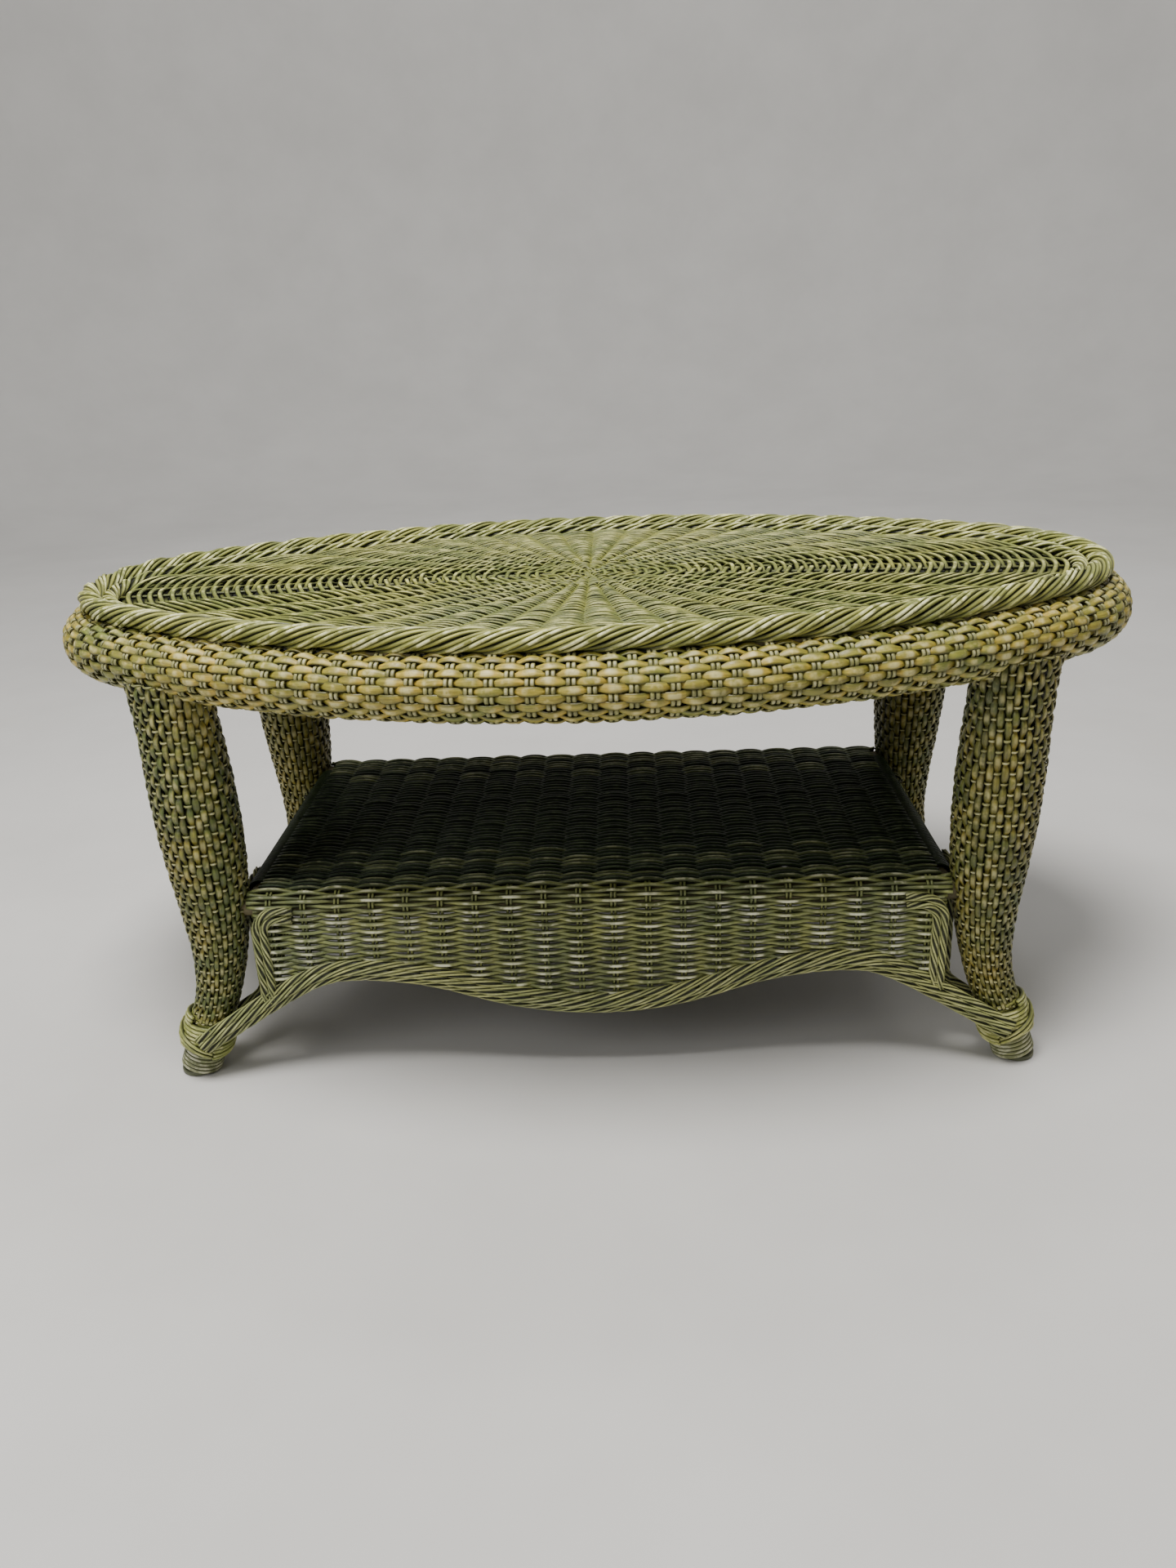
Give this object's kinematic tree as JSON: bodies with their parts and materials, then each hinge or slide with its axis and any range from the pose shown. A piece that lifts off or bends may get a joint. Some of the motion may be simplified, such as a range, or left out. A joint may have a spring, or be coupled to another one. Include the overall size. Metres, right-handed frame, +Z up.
{
  "type": "coffee table",
  "caption": "Oval wicker coffee table: woven top with a rolled rim and rope border, four wrapped legs with splayed feet, and a woven shelf with a scalloped apron.",
  "frame": {"origin": "on the floor, under the middle of the oval top", "axes": "+X along the table to the right, +Y to the back, +Z up"},
  "size_m": [0.9998, 0.584, 0.448],
  "materials": {
    "rim_weave": "flat-oval cane, stained moss green over golden tan, satin lacquer",
    "leg_weave": "flat-oval cane, stained moss green over golden tan, satin lacquer",
    "top_weave": "round reed, green stain with rubbed high spots, satin lacquer",
    "rope": "twisted round reed, green stain with pale rubbed ridges",
    "foot_reed": "wound round reed, green stain, satin",
    "shelf_weave": "round reed, dark green stain, satin",
    "apron_weave": "round reed, grey-green stain, satin",
    "frame_wood": "peeled pole and plain slats, dull",
    "glide": "moulded glide, matte",
    "steel": "zinc plated"
  },
  "bodies": {
    "root": {"ankle_braid_fl": "rope", "ankle_braid_fr": "rope", "ankle_braid_rl": "rope", "ankle_braid_rr": "rope", "apron_front": "apron_weave", "apron_left": "apron_weave", "apron_rear": "apron_weave", "apron_right": "apron_weave", "edge_rope_front": "rope", "edge_rope_left": "rope", "edge_rope_rear": "rope", "edge_rope_right": "rope", "end_rope_front_left": "rope", "end_rope_front_right": "rope", "end_rope_left_front": "rope", "end_rope_left_rear": "rope", "end_rope_rear_left": "rope", "end_rope_rear_right": "rope", "end_rope_right_front": "rope", "end_rope_right_rear": "rope", "foot_glide_fl": "glide", "foot_glide_fr": "glide", "foot_glide_rl": "glide", "foot_glide_rr": "glide", "foot_wrap_fl": "foot_reed", "foot_wrap_fr": "foot_reed", "foot_wrap_rl": "foot_reed", "foot_wrap_rr": "foot_reed", "hoop_screws": "steel", "leg_cover_fl": "leg_weave", "leg_cover_fr": "leg_weave", "leg_cover_rl": "leg_weave", "leg_cover_rr": "leg_weave", "leg_post_fl": "frame_wood", "leg_post_fr": "frame_wood", "leg_post_rl": "frame_wood", "leg_post_rr": "frame_wood", "rail_screws": "steel", "rim_cover": "rim_weave", "shelf_panel": "shelf_weave", "shelf_rail_front": "frame_wood", "shelf_rail_left": "frame_wood", "shelf_rail_rear": "frame_wood", "shelf_rail_right": "frame_wood", "shelf_slat_1": "frame_wood", "shelf_slat_2": "frame_wood", "shelf_slat_3": "frame_wood", "slat_nails": "steel", "top_hoop": "frame_wood", "top_panel": "top_weave", "top_rope_inner": "rope", "top_rope_outer": "rope", "top_slat_1": "frame_wood", "top_slat_2": "frame_wood", "top_slat_3": "frame_wood", "top_slat_4": "frame_wood", "top_slat_5": "frame_wood", "top_spine": "frame_wood"}
  },
  "joints": []
}
